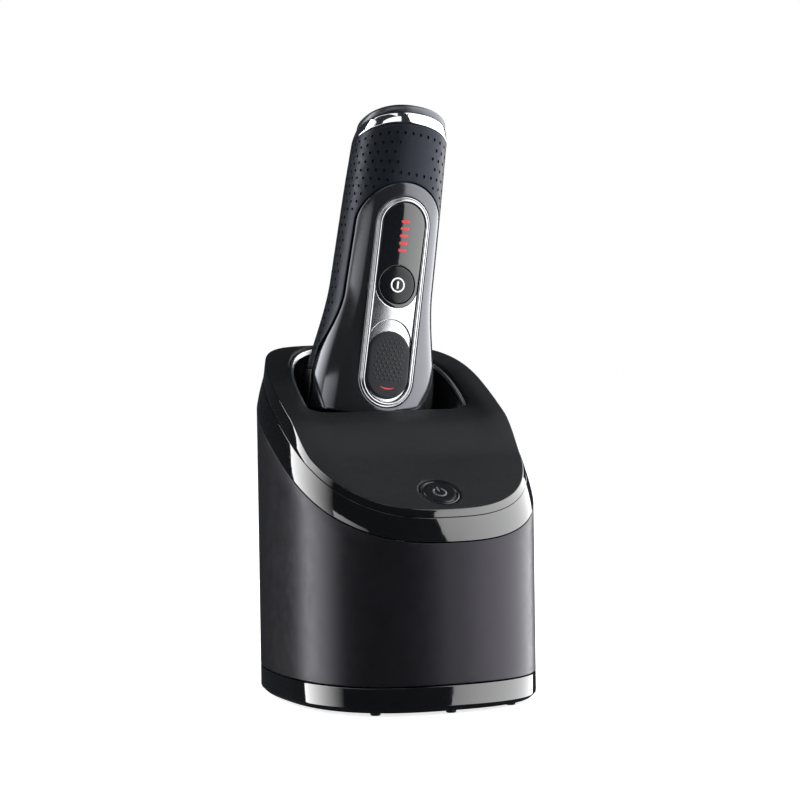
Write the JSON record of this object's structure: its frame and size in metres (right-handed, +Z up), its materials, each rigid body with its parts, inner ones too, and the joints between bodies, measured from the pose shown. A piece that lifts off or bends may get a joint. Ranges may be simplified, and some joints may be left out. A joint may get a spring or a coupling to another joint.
{
  "type": "shaver cleaning station",
  "caption": "Desk cleaning and charging station with a sloping top and start button, with an electric foil shaver docked head down in it.",
  "frame": {"origin": "on the surface it stands on, under the middle of the whole object's box", "axes": "+Z up, -Y towards the front with the start button, +X to the right seen from the front"},
  "size_m": [0.116, 0.1404, 0.2755],
  "materials": {
    "gloss_black": "polished",
    "inner_plastic": "moulded",
    "foot_rubber": "matte",
    "steel": "turned",
    "cartridge_blue": "translucent moulded",
    "white_plastic": "moulded",
    "filter_felt": "felt",
    "housing_plastic": "satin",
    "cover_plastic": "fine grain",
    "chrome": "polished",
    "bowl_plastic": "moulded",
    "clear_hose": "moulded",
    "circuit_board": "solder mask",
    "contact_gold": "plated",
    "socket_plastic": "moulded",
    "button_plastic": "satin gloss",
    "symbol_grey": "moulded",
    "grip_rubber": "dimpled",
    "dark_chrome": "dark polished",
    "neck_plastic": "moulded",
    "satin_metal": "satin",
    "bright_metal": "bright satin",
    "window_black": "polished",
    "led_red": "lit",
    "battery_green": "sleeved",
    "pad_rubber": "dotted",
    "cassette_grey": "moulded",
    "foil_steel": "perforated foil"
  },
  "bodies": {
    "base": {"base_ring": "gloss_black", "base_plate": "inner_plastic", "rubber_feet": "foot_rubber", "guide_columns": "steel", "lift_springs": "steel", "catch_post": "inner_plastic"},
    "cartridge": {"cartridge_body": "cartridge_blue", "cartridge_lid": "white_plastic", "cartridge_tube": "white_plastic", "cartridge_filter": "filter_felt"},
    "housing": {"housing_shell": "housing_plastic", "trim_band": "gloss_black", "top_cover": "cover_plastic", "dock_collar": "gloss_black", "collar_lip": "chrome", "cleaning_bowl": "bowl_plastic", "chassis": "inner_plastic", "chassis_screws": "steel", "guide_sleeves": "white_plastic", "pump_housing": "white_plastic", "pump_motor": "steel", "supply_pipe": "clear_hose", "intake_pipe": "clear_hose", "drain_pipe": "clear_hose", "nozzle_seals": "foot_rubber", "fan_frame": "inner_plastic", "main_board": "circuit_board", "button_bracket": "inner_plastic", "switch_board": "circuit_board", "contact_block": "inner_plastic", "charging_contacts": "contact_gold", "power_socket": "socket_plastic", "socket_pins": "steel"},
    "start_button": {"start_button": "button_plastic", "start_symbol": "symbol_grey"},
    "lift_button": {"lift_button": "button_plastic", "latch_arm": "inner_plastic"},
    "pump_rotor": {"pump_impeller": "cartridge_blue"},
    "fan_rotor": {"fan_rotor": "inner_plastic"},
    "shaver": {"shaver_core": "inner_plastic", "grip_rubber": "grip_rubber", "front_tongue": "dark_chrome", "neck_shell": "neck_plastic", "end_band": "chrome", "end_crown": "satin_metal", "panel_ring": "chrome", "track_plate": "bright_metal", "panel_plate": "bright_metal", "display_window": "window_black", "led_bars": "led_red", "shaver_contacts": "contact_gold", "battery_cells": "battery_green", "shaver_motor": "steel"},
    "power_button": {"power_button": "window_black"},
    "lock_pad": {"lock_pad": "pad_rubber"},
    "shaver_head": {"head_frame": "neck_plastic", "pivot_pin": "steel", "foil_cassette": "cassette_grey", "shaver_foils": "foil_steel"},
    "cutters": {"cutter_blocks": "foil_steel"}
  },
  "joints": [
    {"name": "housing_lift", "type": "slide", "parent": "base", "child": "housing", "axis": [0, 0, 1], "range_m": [0, 0.045], "deforming": ["lift_springs"]},
    {"name": "cartridge_slide", "type": "slide", "parent": "base", "child": "cartridge", "axis": [0, 1, 0], "range_m": [0, 0.12]},
    {"name": "start_button_press", "type": "slide", "parent": "housing", "child": "start_button", "axis": [0, 0.5145, -0.8575], "range_m": [0, 0.001], "stiffness_N_per_m": 900, "springref_m": -0.0005},
    {"name": "lift_button_press", "type": "slide", "parent": "housing", "child": "lift_button", "axis": [0, -1, 0], "range_m": [0, 0.002], "stiffness_N_per_m": 900, "springref_m": -0.001},
    {"name": "pump_spin", "type": "hinge", "parent": "housing", "child": "pump_rotor", "pos_m": [-0.014, -0.0252, 0.075], "axis": [0, 0, 1], "continuous": true},
    {"name": "fan_spin", "type": "hinge", "parent": "housing", "child": "fan_rotor", "pos_m": [0.022, -0.0272, 0.075], "axis": [0, 0, 1], "continuous": true},
    {"name": "shaver_lift_out", "type": "slide", "parent": "housing", "child": "shaver", "axis": [0.1495, 0, 0.9888], "range_m": [0, 0.065]},
    {"name": "power_button_press", "type": "slide", "parent": "shaver", "child": "power_button", "axis": [0, 1, 0], "range_m": [0, 0.0006], "stiffness_N_per_m": 900, "springref_m": -0.0004},
    {"name": "lock_pad_slide", "type": "slide", "parent": "shaver", "child": "lock_pad", "axis": [0.1495, 0, 0.9888], "range_m": [0, 0.005]},
    {"name": "head_pivot", "type": "hinge", "parent": "shaver", "child": "shaver_head", "pos_m": [-0.00316, 0.0258, 0.12285], "axis": [0.9888, 0, -0.1495], "range_deg": [-10, 10], "stiffness_Nm_per_rad": 0.05},
    {"name": "cutter_slide", "type": "slide", "parent": "shaver_head", "child": "cutters", "axis": [0.9888, 0, -0.1495], "range_m": [-0.0012, 0.0012], "stiffness_N_per_m": 900}
  ]
}
